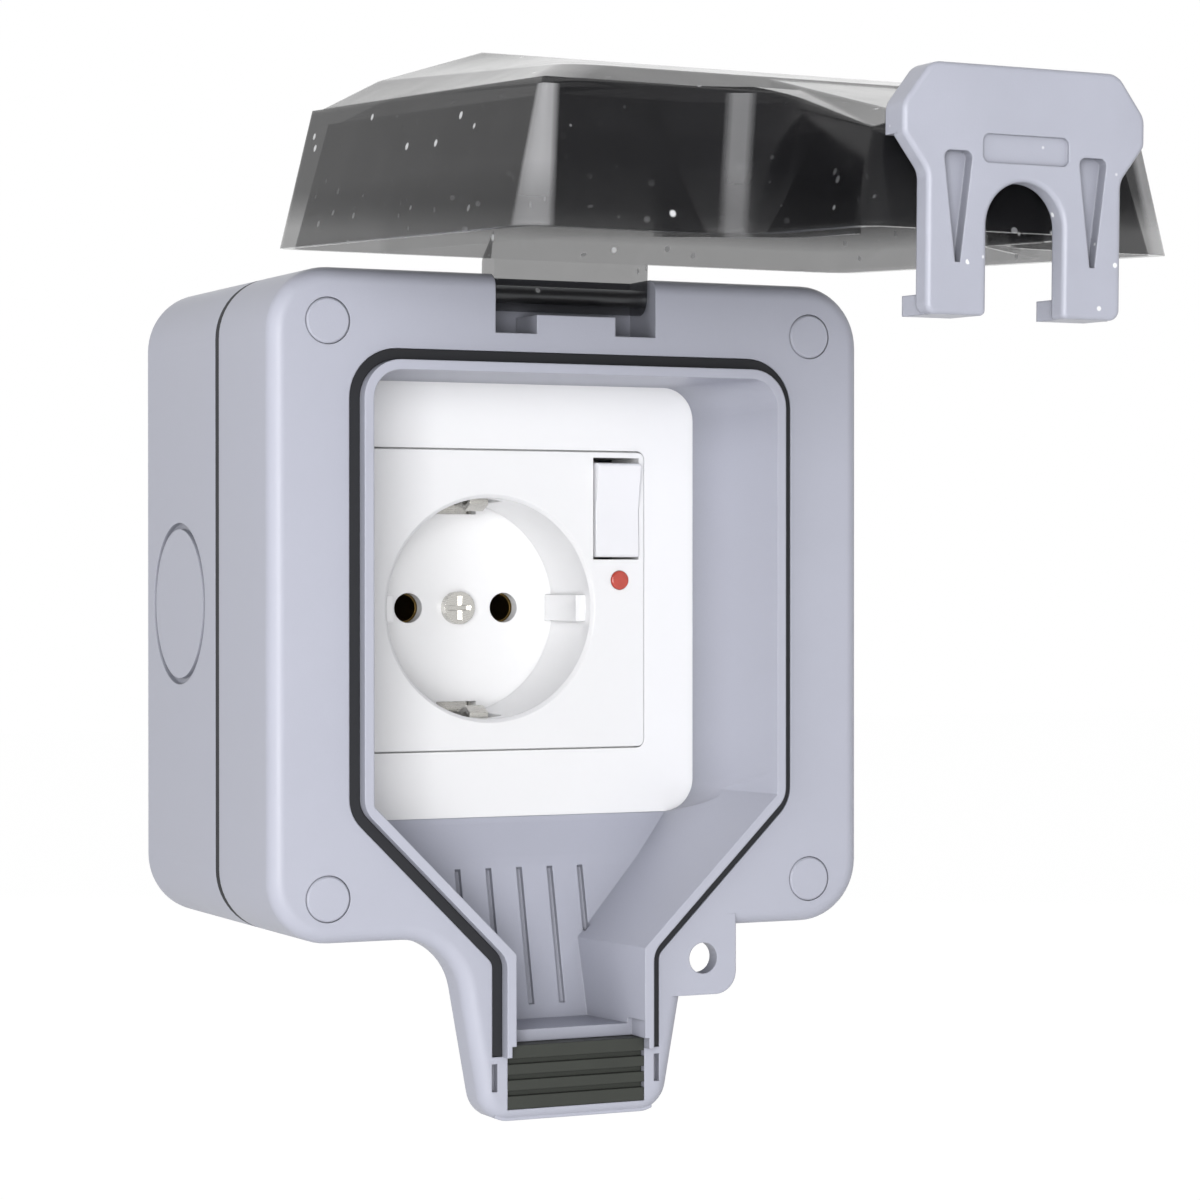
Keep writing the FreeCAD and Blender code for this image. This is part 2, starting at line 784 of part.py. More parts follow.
def earth_bracket():
    """Sprung strip behind the cup, with an arm through each of the cup's side slots."""
    low = cup_back - earth_thickness
    bar = block(cup_x - earth_bar_half_width, cup_x + earth_bar_half_width, low, cup_back,
                cup_z - earth_tail, cup_z + earth_arm_radius + earth_thickness)
    tip = insert_front - earth_arm_setback
    arms = []
    for side in (-1, 1):
        inside = earth_arm_radius
        outside = earth_arm_radius + earth_thickness
        profile = [
            (low, inside),
            (tip - 5.0, inside),
            (tip - 2.5, inside - earth_bend),
            (tip, inside),
            (tip, outside),
            (tip - 2.5, outside - earth_bend),
            (tip - 5.0, outside),
            (low, outside),
        ]
        arms.append(side_slab([(out, cup_z + side * z, 0) for out, z in profile],
                              cup_x - earth_arm_half_width, cup_x + earth_arm_half_width))
    bracket = fused([bar] + arms)
    holes = [rod(cup_x, cup_z, centre_shank_radius + screw_clearance, low - 1, cup_back + 1),
             rod(cup_x, cup_z - earth_screw_drop, terminal_screw_radius + terminal_screw_fit, low - 1, cup_back + 1)]
    return bracket.cut(Part.makeCompound(holes))


def centre_screw():
    return slotted_screw(cup_x, cup_z, centre_shank_radius, centre_head_radius, cup_bottom, centre_head_height,
                         centre_screw_length)


def pin_contact(side, grow):
    """Sprung sleeve behind a pin hole, with its terminal below; grown, it is the space that it sits in."""
    x = cup_x + side * pin_spacing / 2
    reach = sleeve_radius + grow
    top = cup_back + 1 if grow else cup_back - contact_clearance
    foot_top = contact_floor_out + sleeve_step
    shapes = [
        rod(x, cup_z, reach, contact_floor_out, top),
        block(x - reach, x + reach, contact_floor_out, foot_top + grow, cup_z - terminal_reach - grow,
              cup_z + reach),
        block(x - reach, x + reach, contact_floor_out, top if grow else foot_top + terminal_height - sleeve_step,
              cup_z - terminal_reach - grow, cup_z - terminal_reach + terminal_length + grow),
    ]
    return fused(shapes)


def contact_terminal(side):
    """Place of a contact's terminal screw and the height of its seat."""
    x = cup_x + side * pin_spacing / 2
    return x, cup_z - terminal_reach + terminal_length / 2, contact_floor_out + terminal_height


def contact(side):
    x, z, seat = contact_terminal(side)
    body = pin_contact(side, 0)
    cuts = [
        rod(x, cup_z, sleeve_bore_radius, contact_floor_out - 1, cup_back + 1),
        block(x - sleeve_slit / 2, x + sleeve_slit / 2, contact_floor_out + sleeve_step, cup_back + 1,
              cup_z, cup_z + sleeve_radius + 1),
        rod(x, z, terminal_screw_radius + terminal_screw_fit, contact_floor_out + 2, seat + 1),
    ]
    return body.cut(Part.makeCompound(cuts))


def earth_screw_place():
    return cup_x, cup_z - earth_screw_drop, cup_back


def terminal_screws():
    pin_screw_length = terminal_height - terminal_screw_floor
    places = [contact_terminal(-1) + (pin_screw_length,), contact_terminal(1) + (pin_screw_length,),
              earth_screw_place() + (earth_screw_length,)]
    return Part.makeCompound([slotted_screw(x, z, terminal_screw_radius, terminal_head_radius, seat,
                                            terminal_head_height, length) for x, z, seat, length in places])


def mechanism_base():
    """Moulded base that carries the contacts, hung from the strap by its end walls."""
    strap_back = plate_back - strap_thickness
    floor = block(base_left, base_right, base_back_out, cup_back, base_bottom, base_top)
    walls = [block(base_left, base_right, cup_back - 1, strap_back, base_bottom, base_bottom + base_end_wall),
             block(base_left, base_right, cup_back - 1, strap_back, base_top - base_end_wall, base_top)]
    post = block(rocker_left + 1, rocker_right - 0.5, cup_back - 1, switch_post_top(), rocker_bottom + 0.5,
                 rocker_top - 0.5)
    base = fused([floor, post] + walls)
    low = cup_back - earth_thickness
    bar_side = earth_bar_half_width + contact_clearance
    channel = block(cup_x - bar_side, cup_x + bar_side, low, cup_back + 1, cup_z - earth_tail - contact_clearance,
                    cup_z + earth_arm_radius + earth_thickness + contact_clearance)
    x, z, seat = earth_screw_place()
    pin_end = cup_bottom - plug_pin_length - plug_pin_end_clearance
    cuts = [rod(cup_x + side * pin_spacing / 2, cup_z, plug_pin_room_radius, pin_end, cup_back)
            for side in (-1, 1)]
    cuts += [
        pin_contact(-1, contact_clearance),
        pin_contact(1, contact_clearance),
        channel,
        rod(cup_x, cup_z, centre_shank_radius + screw_clearance, cup_bottom - centre_screw_length - 0.5, cup_back),
        rod(x, z, terminal_screw_radius + terminal_screw_fit, seat - earth_screw_length - 0.5, seat),
    ]
    return base.cut(Part.makeCompound(cuts))


def lever_back():
    """Distance out of the wall of the back of the rocker's moving contact, when level."""
    return insert_front - rocker_depth - contact_thickness


def switch_contact_top():
    """Just clear of the moving contact's end at full tilt."""
    angle = math.radians(rocker_tilt)
    arm = rocker_pivot_out - lever_back()
    half_length = (rocker_top - rocker_bottom) / 2 - rocker_end_clearance - 2
    return rocker_pivot_out - arm * math.cos(angle) - half_length * math.sin(angle) - contact_gap


def switch_post_top():
    return switch_contact_top() - 2 * contact_thickness


def switch_contact():
    """Fixed contact strip on the base's post, with its raised point under the rocker's lower end."""
    base = switch_post_top()
    strip = block(rocker_x - contact_half_width, rocker_x + contact_half_width, base, base + contact_thickness,
                  rocker_bottom + 1.5, rocker_top - 1.5)
    point = rod(rocker_x, rocker_bottom + 4.5, contact_half_width - 0.8, base, switch_contact_top())
    return strip.fuse(point).removeSplitter()


def tilted(shape):
    """The rocker's pieces rest with the switch off, pressed in at the top."""
    copy = shape.copy()
    copy.rotate(Vector(0, -rocker_pivot_out, rocker_z), X_AXIS, rocker_tilt)
    return copy


def switch_rocker():
    left = rocker_left + rocker_side_clearance
    right = rocker_right - rocker_side_clearance
    low = rocker_bottom + rocker_end_clearance
    high = rocker_top - rocker_end_clearance
    crest = insert_front + rocker_crest
    floor = insert_front - rocker_depth
    taper_in = 2.0
    body = side_slab([
        (crest, low, 0.6),
        (rocker_pivot_out, low, 0),
        (floor, low + taper_in, 0.5),
        (floor, high - taper_in, 0.5),
        (rocker_pivot_out, high, 0),
        (crest, high, 0.6),
        (crest - rocker_hollow, rocker_z, rocker_hollow_radius),
    ], left, right)
    pins = cross_rod(rocker_pivot_out, rocker_z, rocker_pin_radius, rocker_left - rocker_pin_length,
                     rocker_right + rocker_pin_length)
    return tilted(body.fuse(pins).removeSplitter())


def moving_contact():
    back = lever_back()
    return tilted(block(rocker_x - contact_half_width, rocker_x + contact_half_width, back,
                        back + contact_thickness, rocker_bottom + rocker_end_clearance + 2.5,
                        rocker_top - rocker_end_clearance - 2.5))


def indicator_lens():
    top = insert_front + lamp_proud
    lens = rod(lamp_x, lamp_z, lamp_radius, top - lens_length, top)
    return lens.makeFillet(lamp_proud * 0.9, edges_at(lens, top))


def indicator_lamp():
    top = insert_front + lamp_proud - lens_length
    lamp = rod(lamp_x, lamp_z, neon_radius, top - neon_length, top)
    return lamp.makeFillet(neon_radius * 0.6, edges_at(lamp, top - neon_length))


def support_frame():
    back = plate_back - strap_thickness
    strap = slab(rectangle(-strap_half_width, strap_half_width, -strap_bottom, strap_top, strap_corner_radius),
                 back, plate_back)
    grow = insert_flange - strap_opening_overlap
    strap = strap.cut(slab(insert_corners(grow), back - 1, plate_back + 1))
    holes = [rod(side * strap_screw_x, 0, strap_screw_radius + screw_clearance, back - 1, plate_back + 1)
             for side in (-1, 1)]
    return strap.cut(Part.makeCompound(holes))


def strap_screws():
    return Part.makeCompound([slotted_screw(side * strap_screw_x, 0, strap_screw_radius, strap_head_radius,
                                            plate_back, strap_head_height, strap_screw_length)
                              for side in (-1, 1)])


def lid_corners(inset):
    """T-shaped outline of the closed lid, drawn in from its rim."""
    side = lid_half_width - inset
    neck = lid_nose_half_width - inset
    rear = max(lid_corner_radius - inset, lid_smallest_radius)
    fore = max(lid_front_radius - inset, lid_smallest_radius)
    tip = max(lid_nose_radius - inset, lid_smallest_radius)
    right = [
        (side, lid_top - inset, rear),
        (side, -lid_shoulder + inset, fore),
        (neck, -lid_shoulder + inset, lid_inner_radius + inset),
        (neck, -lid_nose_end + inset, tip),
    ]
    return right + [(-x, z, radius) for x, z, radius in reversed(right)]


def crown_corners(inset, front_inset):
    side = lid_half_width - inset
    return rectangle(-side, side, -lid_shoulder + front_inset, lid_top - inset, lid_corner_radius)


def leaning(height, lean):
    """Places (x, z) in a plane at that height over the lid's rim, which rises towards the hinge."""
    return lambda x, z: Vector(x, -rim - height - lean * z, z)


def nose_wall_height(z):
    """Height of the nose's side walls above the rim; it falls towards the nose's end."""
    share = (-lid_shoulder - z) / (lid_nose_end - lid_shoulder)
    root = lid_wall_height - lid_wall_lean * lid_shoulder
    return root + share * (lid_nose_wall_height - root)


def lid_form(skin):
    """Solid lid; with a skin thickness it is the hollow inside that skin."""
    foot = rim - (1 if skin else 0)
    inset_top = skin + lid_draft
    wall_top = leaning(lid_wall_height - skin, lid_wall_lean)
    walls = Part.makeLoft([outline(lid_corners(skin), facing_wall(foot)), outline(lid_corners(inset_top), wall_top)],
                          True, True)
    slope = side_slab([
        (rim + nose_wall_height(-lid_shoulder) - skin / 2, -lid_shoulder, 0),
        (rim + lid_dome_height, -lid_shoulder, 0),
        (rim + lid_dome_height, -lid_nose_end - 1, 0),
        (rim + nose_wall_height(-lid_nose_end - 1) - skin / 2, -lid_nose_end - 1, 0),
    ], -lid_half_width, lid_half_width)
    walls = walls.cut(slope)
    rings = [
        outline(crown_corners(inset_top, inset_top), leaning(lid_wall_height - skin - lid_crown_sink, lid_wall_lean)),
        outline(crown_corners(skin + lid_bevel_inset, skin + lid_bevel_inset),
                leaning(lid_bevel_height - skin, lid_bevel_lean)),
        outline(crown_corners(skin + lid_dome_inset, skin + lid_dome_front_inset),
                leaning(lid_dome_height - skin, lid_dome_lean)),
    ]
    return fused([walls, Part.makeLoft(rings, True, True), nose_crown(skin)])


def nose_crown(skin):
    """Bevelled top of the lid's nose."""
    wires = []
    root = -lid_shoulder + lid_nose_crown_inset
    end = -lid_nose_end + lid_draft + skin
    sections = [(root, lid_wall_height + lid_wall_lean * root - skin, lid_nose_crown_root),
                (end, nose_wall_height(end) - skin, lid_nose_crown_height)]
    for z, low, crown in sections:
        side = lid_nose_half_width - skin - lid_draft * low / lid_wall_height
        top = lid_nose_crown_half_width - skin / 2
        points = [(-side, low), (-top, crown - skin), (top, crown - skin), (side, low)]
        corners = [Vector(x, -rim - h, z) for x, h in points]
        wires.append(Part.makePolygon(corners + [corners[0]]))
    return Part.makeLoft(wires, True, True)


def opened(shape):
    """Swings a closed lid piece up about the hinge to the stored position."""
    copy = shape.copy()
    copy.rotate(Vector(0, -hinge_out, hinge_z), X_AXIS, -lid_open_angle)
    return copy


def lid_rib():
    """Inner rib that presses into the frame's seal groove when the lid is shut."""
    tip = rim - lid_rib_reach
    middle = lip_width + groove_width / 2
    outer = slab(recess_corners(middle + lid_rib_inset, lid_rib_bottom), tip, rim + 2 * lid_dome_height)
    inner = slab(recess_corners(middle - lid_rib_inset, lid_rib_bottom + 5), tip - 1, rim + 2 * lid_dome_height + 1)
    inside = fused([lid_form(lid_wall / 2), slab(lid_corners(lid_wall), tip - 1, rim + 1)])
    return outer.cut(inner).common(inside)


def lid_arm():
    """Hinge barrel and the arm that joins it to the lid's top wall."""
    barrel = cross_rod(hinge_out, hinge_z, barrel_radius, -barrel_half_length, barrel_half_length)
    low = hinge_z - barrel_radius
    high = hinge_z + barrel_radius
    arm = side_slab([
        (hinge_out, high, 0),
        (rim, high, 1.5),
        (rim + lid_arm_reach, lid_top - lid_wall, 0),
        (rim, low, 0),
        (hinge_out, low, 0),
    ], -barrel_half_length, barrel_half_length)
    return barrel.fuse(arm)


def pivot_point():
    """Distance out and height of the latch's pivot when the lid is shut."""
    return rim + latch_pivot_height, latch_face_z + latch_pivot_depth


def lid_lugs():
    out, z = pivot_point()
    wall = -lid_nose_end + lid_draft / 2 + lid_wall / 2
    lugs = []
    for side in (-1, 1):
        left = side * latch_lug_x - latch_lug_width / 2
        right = left + latch_lug_width
        lugs.append(cross_rod(out, z, latch_lug_radius, left, right))
        lugs.append(block(left, right, out - latch_lug_radius, out + latch_lug_radius, z, wall))
    return lugs


def lid():
    shell = lid_form(0).cut(lid_form(lid_wall))
    shell = fused([shell, lid_rib(), lid_arm()] + lid_lugs())
    out, z = pivot_point()
    reach = latch_leg_half_width
    bores = [cross_rod(hinge_out, hinge_z, hinge_pin_radius + hinge_fit, -barrel_half_length - 1,
                       barrel_half_length + 1),
             cross_rod(out, z, latch_pin_radius + hinge_fit, -reach, reach)]
    return opened(shell.cut(Part.makeCompound(bores)))


def latch_pin():
    out, z = pivot_point()
    reach = latch_lug_x + latch_lug_width / 2 + latch_lug_gap + latch_boss_width - 0.4
    return opened(cross_rod(out, z, latch_pin_radius, -reach, reach))


def latch_profile():
    """Front view of the latch: a cap with two legs and an arch between them."""
    foot = -latch_leg_length
    right = [
        (latch_cap_top_half_width, latch_cap_top, 3.0),
        (latch_cap_half_width, latch_cap_high, 3.0),
        (latch_cap_half_width, latch_cap_low, 1.5),
        (latch_leg_half_width, latch_waist, 3.0),
        (latch_leg_half_width, foot, latch_leg_corner),
        (latch_gap_half_width, foot, latch_leg_corner / 2),
        (latch_gap_half_width, latch_arch_height, latch_gap_half_width - 0.01),
    ]
    corners = right + [(-x, h, radius) for x, h, radius in reversed(right)]
    return [(x, rim + h, radius) for x, h, radius in corners]


def hood_profile(inset):
    """The cap alone, above the legs, drawn in by a wall."""
    bottom = latch_cap_low if inset == 0 else latch_waist
    right = [
        (latch_cap_top_half_width - inset / 2, latch_cap_top - inset, 3.0 - inset),
        (latch_cap_half_width - inset, latch_cap_high - inset / 2, 3.0 - inset),
        (latch_cap_half_width - inset, bottom, 0),
    ]
    corners = right + [(-x, h, radius) for x, h, radius in reversed(right)]
    return [(x, rim + h, radius) for x, h, radius in corners]


def latch():
    face = latch_face_z
    inner = face + latch_thickness
    plate = level_slab(latch_profile(), face, inner)
    front_edges = [e for e in plate.Edges if all(abs(v.Point.z - face) < 1e-4 for v in e.Vertexes)]
    plate = plate.makeFillet(latch_edge_rounding, front_edges)
    hood = level_slab(hood_profile(0), inner - 1, face + latch_hood_depth)
    hood = hood.cut(level_slab(hood_profile(latch_cap_wall), inner, face + latch_hood_depth + 1))
    pieces = [plate, hood]
    tip = face + latch_toe_depth
    foot = rim - latch_leg_length
    for side in (-1, 1):
        a = side * latch_gap_half_width
        b = side * latch_leg_half_width
        pieces.append(block(min(a, b) + 0.8, max(a, b) - 0.8, foot, foot + latch_toe_thickness, inner - 1, tip))
    out, z = pivot_point()
    outer_gap = latch_lug_width / 2 + latch_lug_gap
    for side in (-1, 1):
        for start in (side * latch_lug_x - outer_gap - latch_boss_width, side * latch_lug_x + outer_gap):
            end = start + latch_boss_width
            pieces.append(cross_rod(out, z, latch_boss_radius, start, end))
            pieces.append(block(start, end, out - latch_boss_radius, out + latch_boss_radius, inner - 1, z))
    body = fused(pieces)
    bore = cross_rod(out, z, latch_pin_radius + hinge_fit, -latch_cap_half_width + 3, latch_cap_half_width - 3)
    cuts = [bore, level_slab(rectangle(-latch_band_half_width, latch_band_half_width, rim + latch_band_low,
                                       rim + latch_band_high, 1.0), face - 1, face + latch_band_depth)]
    for side in (-1, 1):
        x = side * latch_flute_x
        cuts.append(level_slab([
            (x - latch_flute_half_width, rim + latch_flute_top, 1.0),
            (x + latch_flute_half_width, rim + latch_flute_top, 1.0),
            (x + 0.4, rim + latch_flute_tip, 0),
            (x - 0.4, rim + latch_flute_tip, 0),
        ], face - 1, face + latch_flute_depth))
    body = body.cut(Part.makeCompound(cuts))
    body.rotate(Vector(0, -out, z), X_AXIS, -latch_rest_tilt)
    return opened(body)


def main():
    os.makedirs("parts", exist_ok=True)
    save("back_box", back_box())
    save("box_gasket", box_gasket())
    save("front_frame", front_frame())
    save("frame_screws", frame_screws())
    save("screw_caps", screw_caps())
    save("lid_seal", lid_seal())
    save("cable_seal", cable_seal())
    save("outlet_plate", outlet_plate())
    save("socket_insert", socket_insert())
    save("earth_bracket", earth_bracket())
    save("centre_screw", centre_screw())
    save("live_contact", contact(-1))
    save("neutral_contact", contact(1))
    save("terminal_screws", terminal_screws())
    save("mechanism_base", mechanism_base())
    save("switch_contact", switch_contact())
    save("switch_rocker", switch_rocker())
    save("moving_contact", moving_contact())
    save("indicator_lens", indicator_lens())
    save("indicator_lamp", indicator_lamp())
    save("support_frame", support_frame())
    save("strap_screws", strap_screws())
    save("hinge_pin", hinge_pin())
    save("lid", lid())
    save("latch_pin", latch_pin())
    save("latch", latch())


main()
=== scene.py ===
import json
import math

import bmesh
import bpy
from mathutils import Euler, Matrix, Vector


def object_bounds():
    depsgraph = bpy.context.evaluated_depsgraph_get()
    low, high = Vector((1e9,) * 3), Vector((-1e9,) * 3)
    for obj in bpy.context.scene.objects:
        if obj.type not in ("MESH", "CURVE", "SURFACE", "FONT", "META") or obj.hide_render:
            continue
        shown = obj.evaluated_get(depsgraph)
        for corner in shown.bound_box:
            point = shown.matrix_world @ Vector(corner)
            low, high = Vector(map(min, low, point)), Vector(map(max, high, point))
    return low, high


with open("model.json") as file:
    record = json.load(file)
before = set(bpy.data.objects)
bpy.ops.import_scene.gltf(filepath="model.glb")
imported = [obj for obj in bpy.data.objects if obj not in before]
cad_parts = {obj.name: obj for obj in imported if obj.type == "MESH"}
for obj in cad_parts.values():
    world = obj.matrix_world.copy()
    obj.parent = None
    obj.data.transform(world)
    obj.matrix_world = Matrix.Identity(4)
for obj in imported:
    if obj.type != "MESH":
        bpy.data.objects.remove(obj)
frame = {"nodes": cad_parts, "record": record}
cad_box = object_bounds()
nodes = frame["nodes"]

# Everything is in metres, in the frame of the solids: the wall is Y = 0, +X right and +Z up.
MM = 0.001

# How the photograph was taken
CAMERA_PLACE = (-0.25013, -0.61392, 0.00507)
CAMERA_YAW = 25.715
CAMERA_DIP = 0.392
PHOTO_SIZE = 1200
FOCAL_PIXELS = 3447.55
CENTRE_PIXEL = (642.69, 599.05)
SENSOR = 36.0
NEAREST_SEEN = 0.05


def linear(red, green, blue):
    """A colour as it looks on a screen, 0 to 255, in the linear values that shaders take."""
    def channel(value):
        share = value / 255
        return share / 12.92 if share <= 0.04045 else ((share + 0.055) / 1.055) ** 2.4

    return channel(red), channel(green), channel(blue), 1.0


def shaded(colour, factor):
    """The same colour, darker or lighter."""
    return tuple(channel * factor for channel in colour[:3]) + (1.0,)


class Signal:
    """The output of a shader node, which can be used in arithmetic."""

    def __init__(self, shader, socket):
        self.shader = shader
        self.socket = socket

    def maths(self, operation, first, second):
        return self.shader.maths(operation, first, second)

    def __add__(self, other):
        return self.maths("ADD", self, other)

    __radd__ = __add__

    def __sub__(self, other):
        return self.maths("SUBTRACT", self, other)

    def __rsub__(self, other):
        return self.maths("SUBTRACT", other, self)

    def __mul__(self, other):
        return self.maths("MULTIPLY", self, other)

    __rmul__ = __mul__


class Shader:
    """The nodes of a material or of the world."""

    def __init__(self, owner):
        owner.use_nodes = True
        self.tree = owner.node_tree
        self.tree.nodes.clear()

    def node(self, kind, settings=None, sockets=None, output=0):
        """Adds a node: its type, its settings, what its sockets take, and the output wanted."""
        made = self.tree.nodes.new("ShaderNode" + kind)
        for name, value in (settings or {}).items():
            if name == "stops":
                self.set_stops(made.color_ramp, value)
            else:
                setattr(made, name, value)
        for name, value in (sockets or {}).items():
            if isinstance(value, Signal):
                self.tree.links.new(value.socket, made.inputs[name])
            else:
                made.inputs[name].default_value = value
        return Signal(self, made.outputs[output]) if made.outputs else None

    def set_stops(self, ramp, stops):
        """Each stop is a position along the ramp and a grey level."""
        for _ in range(len(stops) - len(ramp.elements)):
            ramp.elements.new(0.5)
        for element, (position, level) in zip(ramp.elements, stops):
            element.position = position
            element.color = (level, level, level, 1.0)

    def maths(self, operation, first, second):
        return self.node("Math", {"operation": operation}, {0: first, 1: second})

    def split(self, vector):
        """The three parts of a vector or a colour."""
        return [self.node("SeparateXYZ", {}, {"Vector": vector}, output=axis) for axis in range(3)]

    def seen_directly(self):
        """1 for rays from the camera, from gloss and through clear plastic; 0 for the rest."""
        kinds = ("Camera", "Glossy", "Transmission")
        rays = [self.node("LightPath", output=f"Is {kind} Ray") for kind in kinds]
        return self.maths("MAXIMUM", rays[0], self.maths("MAXIMUM", rays[1], rays[2]))


class Finish(Shader):
    """A material under construction; its patterns follow the object's own coordinates."""

    def __init__(self, name):
        self.material = bpy.data.materials.new(name)
        super().__init__(self.material)
        self.place = self.node("TexCoord", output="Object")

    def noise(self, size, detail=2.0, stretch=None):
        """Cloudy pattern whose features are about that size in metres."""
        place = self.place
        if stretch:
            place = self.node("Mapping", {}, {"Vector": place, "Scale": stretch})
        return self.node("TexNoise", {}, {"Vector": place, "Scale": 1 / size, "Detail": detail})

    def ramp(self, signal, *stops):
        return self.node("ValToRGB", {"stops": stops}, {"Fac": signal})

    def blend(self, factor, first, second):
        """A colour between two colours."""
        return self.node("Mix", {"data_type": "RGBA"}, {0: factor, 6: first, 7: second}, output=2)

    def soft_edges(self, radius):
        """Surface direction with the sharp edges rounded off."""
        return self.node("Bevel", {"samples": 6}, {"Radius": radius})

    def bump(self, height, distance, normal):
        return self.node("Bump", {}, {"Height": height, "Distance": distance, "Normal": normal})

    def crevices(self, reach):
        """1 on open surfaces, falling towards 0 in corners and grooves."""
        return self.node("AmbientOcclusion", {"samples": 6}, {"Distance": reach}, output="AO")

    def surface(self, **sockets):
        """The finished material: each socket's name has an underscore for each space."""
        named = {name.replace("_", " "): value for name, value in sockets.items()}
        shader = self.node("BsdfPrincipled", {}, named)
        self.node("OutputMaterial", {}, {"Surface": shader})
        return self.material


def moulding(name, colour, edge=0.35 * MM, grain=0.35 * MM, grain_depth=0.012 * MM,
             roughness=0.42, mottle=0.035, glint_share=0.0):
    """Moulded plastic: spark-eroded grain, slight flow clouds, dust and painted shade where
    sheltered.
    """
    finish = Finish(name)
    clouds = finish.noise(18 * MM, detail=3.0)
    grain_height = finish.noise(grain, detail=3.0)
    open_surface = finish.ramp(finish.crevices(DUST_AND_SHADE_REACH), (0.25, 0.0), (0.95, 1.0))
    base = finish.blend(clouds, shaded(colour, 1 - mottle), shaded(colour, 1 + mottle))
    # Darker towards corners and recesses: dust together with painted shade
    painted_colour = finish.blend(open_surface, shaded(colour, 1 - DUST_AND_SHADE), base)
    normal = finish.bump(grain_height, grain_depth, finish.soft_edges(edge))
    # Painted glints, as of water drops, lighten a share of small spots
    if glint_share:
        painted_colour = finish.blend(glint_spots(finish, 3 * MM, glint_share), painted_colour, GLINT)
    return finish.surface(
        Base_Color=painted_colour,
        Roughness=roughness - 0.06 + 0.12 * clouds,
        Specular_IOR_Level=0.4,
        Normal=normal,
    )


def smooth_moulding(name, colour, edge=0.3 * MM, roughness=0.2):
    """Hard white plastic with a polished face that is not quite flat."""
    finish = Finish(name)
    clouds = finish.noise(30 * MM, detail=2.0)
    waves = finish.noise(9 * MM, detail=1.0)
    # Painted shade: the colour is a tenth darker towards corners and grooves
    open_surface = finish.ramp(finish.crevices(1.5 * MM), (0.3, 0.0), (0.9, 1.0))
    base = finish.blend(clouds, shaded(colour, 0.985), shaded(colour, 1.01))
    return finish.surface(
        Base_Color=finish.blend(open_surface, shaded(colour, 0.9), base),
        Roughness=roughness - 0.04 + 0.1 * clouds,
        Normal=finish.bump(waves, 0.05 * MM, finish.soft_edges(edge)),
    )


def rubber(name, colour, roughness=0.72):
    """Dull rubber with a faint bloom and fine pores."""
    finish = Finish(name)
    bloom = finish.noise(7 * MM, detail=4.0)
    pores = finish.noise(0.25 * MM, detail=2.0)
    return finish.surface(
        Base_Color=finish.blend(bloom, shaded(colour, 0.75), shaded(colour, 1.35)),
        Roughness=roughness - 0.1 + 0.2 * bloom,
        Normal=finish.bump(pores, 0.02 * MM, finish.soft_edges(0.25 * MM)),
    )


def metal(name, colour, roughness=0.3, stretch=(1, 1, 14)):
    """Plated or rolled metal with fine lines in one direction."""
    finish = Finish(name)
    lines = finish.noise(1.2 * MM, detail=4.0, stretch=stretch)
    tarnish = finish.noise(5 * MM, detail=3.0)
    return finish.surface(
        Base_Color=finish.blend(tarnish, shaded(colour, 0.82), colour),
        Metallic=1.0,
        Roughness=roughness - 0.08 + 0.1 * lines + 0.1 * tarnish,
        Normal=finish.bump(lines, 0.006 * MM, finish.soft_edges(0.12 * MM)),
    )


def inside(finish, low, high):
    """1 inside a box of the object's own coordinates, whose X range is mirrored."""
    across, outward, upward = finish.split(finish.place)
    mirrored = finish.maths("ABSOLUTE", across, 0.0)
    mask = 1.0
    for value, lowest, highest in zip((mirrored, outward, upward), low, high):
        above = finish.maths("GREATER_THAN", value, lowest)
        below = finish.maths("LESS_THAN", value, highest)
        mask = mask * above * below
    return mask


def glint_spots(finish, size, share):
    """Painted glints, as of small water drops: 1 on a glint, 0 between them."""
    distance, shade = (
        finish.node("TexVoronoi", {}, {"Vector": finish.place, "Scale": 1 / size}, output=name)
        for name in ("Distance", "Color")
    )
    chosen = finish.maths("GREATER_THAN", finish.split(shade)[0], 1 - share)
    return chosen * finish.ramp(distance, (0.09, 1.0), (0.14, 0.0))


def bend_highlights(finish, rise):
    """1 on the rounded upright bends at the lid's shoulders, paler than its flat walls by a
    painted highlight.

    An outer bend is where width and reach together are greatest; an inner one is where they differ
    by a set amount.
    """
    across, outward, _ = finish.split(finish.place)
    span = finish.maths("ABSOLUTE", across, 0.0)
    reach = span - outward
    past = (reach + BEND_LEAN * rise - OUTER_BEND) * (1 / OUTER_BEND_WIDTH)
    outer = finish.ramp(past, (0.0, 0.0), (1.0, 1.0))
    outer = outer * finish.maths("GREATER_THAN", span, NOSE_SPAN)
    offset = finish.maths("ABSOLUTE", span + outward + INNER_BEND, 0.0)
    inner = finish.ramp(offset * (1 / INNER_BEND_WIDTH), (0.3, 0.5), (0.7, 0.0))
    inner = inner * finish.maths("GREATER_THAN", reach, NOSE_ROOF)
    return (outer + inner) * finish.maths("LESS_THAN", rise, LID_WALL)


